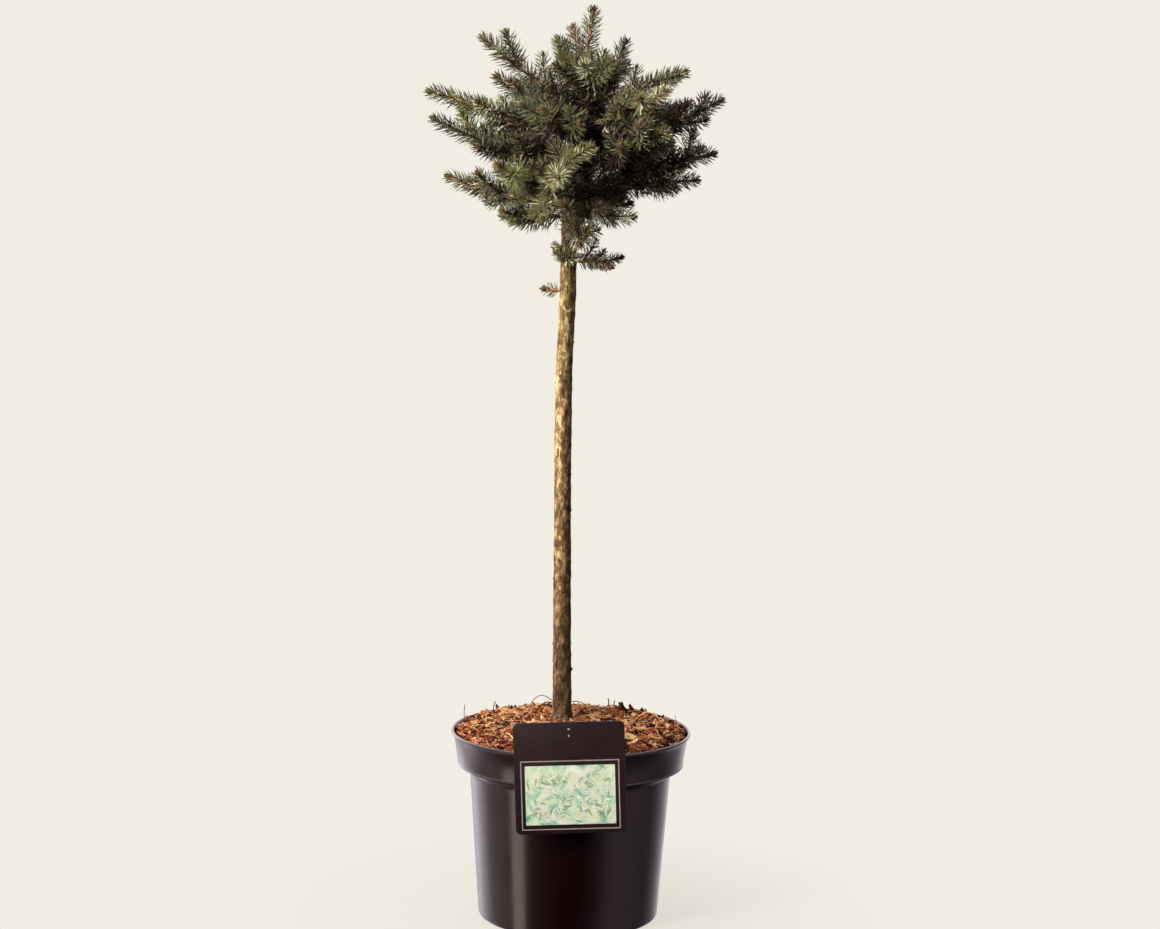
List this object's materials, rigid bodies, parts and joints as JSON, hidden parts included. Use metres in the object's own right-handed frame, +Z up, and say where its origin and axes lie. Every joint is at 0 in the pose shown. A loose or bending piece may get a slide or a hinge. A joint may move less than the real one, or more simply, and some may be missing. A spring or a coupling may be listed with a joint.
{
  "type": "potted glauca globosa blue spruce standard",
  "caption": "Dwarf blue spruce grafted on a slim clear stem, with a loose round crown of needled shoots, in a round nursery pot of bark mulch with a blank label card.",
  "frame": {"origin": "centre of the pot's flat underside", "axes": "+Z up the stem, +X to the right and -Y towards the viewer who faces the label"},
  "size_m": [0.3214, 0.2806, 0.9795],
  "materials": {
    "pot_plastic": "smooth black moulded plastic with a soft gloss",
    "bark_mulch": "loose orange-brown bark chips and fibres",
    "label_card": "satin printed plastic card",
    "bark": "scaly golden-tan bark with green-grey patches",
    "foliage": "stiff grey-green needles on tan twigs"
  },
  "bodies": {
    "root": {"pot": "pot_plastic", "bark_mulch": "bark_mulch", "plant_label": "label_card", "trunk": "bark", "bough_upper_left": "bark", "bough_inner_left": "bark", "bough_mid_left": "bark", "bough_lower_mid_left": "bark", "bough_low_left": "bark", "bough_low_left_front": "bark", "bough_front_centre": "bark", "bough_right_front": "bark", "bough_right_upper": "bark", "bough_far_right": "bark", "bough_right_mid_back": "bark", "bough_right_tuft": "bark", "bough_right_low": "bark", "bough_right_lowest": "bark", "bough_centre_tuft": "bark", "bough_rear_upper_left": "bark", "bough_rear_mid": "bark", "bough_rear_mid_left": "bark", "bough_rear_mid_right": "bark", "bough_rear_low": "bark", "foliage_leader": "foliage", "foliage_upper_left": "foliage", "foliage_inner_left": "foliage", "foliage_mid_left": "foliage", "foliage_lower_mid_left": "foliage", "foliage_low_left": "foliage", "foliage_low_left_front": "foliage", "foliage_bottom_left": "foliage", "foliage_front_centre": "foliage", "foliage_right_front": "foliage", "foliage_right_upper": "foliage", "foliage_far_right": "foliage", "foliage_right_mid_back": "foliage", "foliage_right_tuft": "foliage", "foliage_right_low": "foliage", "foliage_right_lowest": "foliage", "foliage_bottom_right": "foliage", "foliage_centre_tuft": "foliage", "foliage_rear_upper_left": "foliage", "foliage_rear_mid": "foliage", "foliage_rear_mid_left": "foliage", "foliage_rear_mid_right": "foliage", "foliage_rear_low": "foliage", "foliage_top_left_back": "foliage", "foliage_top_left_front": "foliage", "foliage_top_right": "foliage", "foliage_high_front": "foliage", "foliage_front_low": "foliage", "foliage_front_hanging": "foliage", "foliage_rear_low_left": "foliage", "foliage_rear_low_right": "foliage", "foliage_sprout_left": "foliage", "foliage_sprout_right": "foliage", "foliage_sprig": "foliage"}
  },
  "joints": []
}
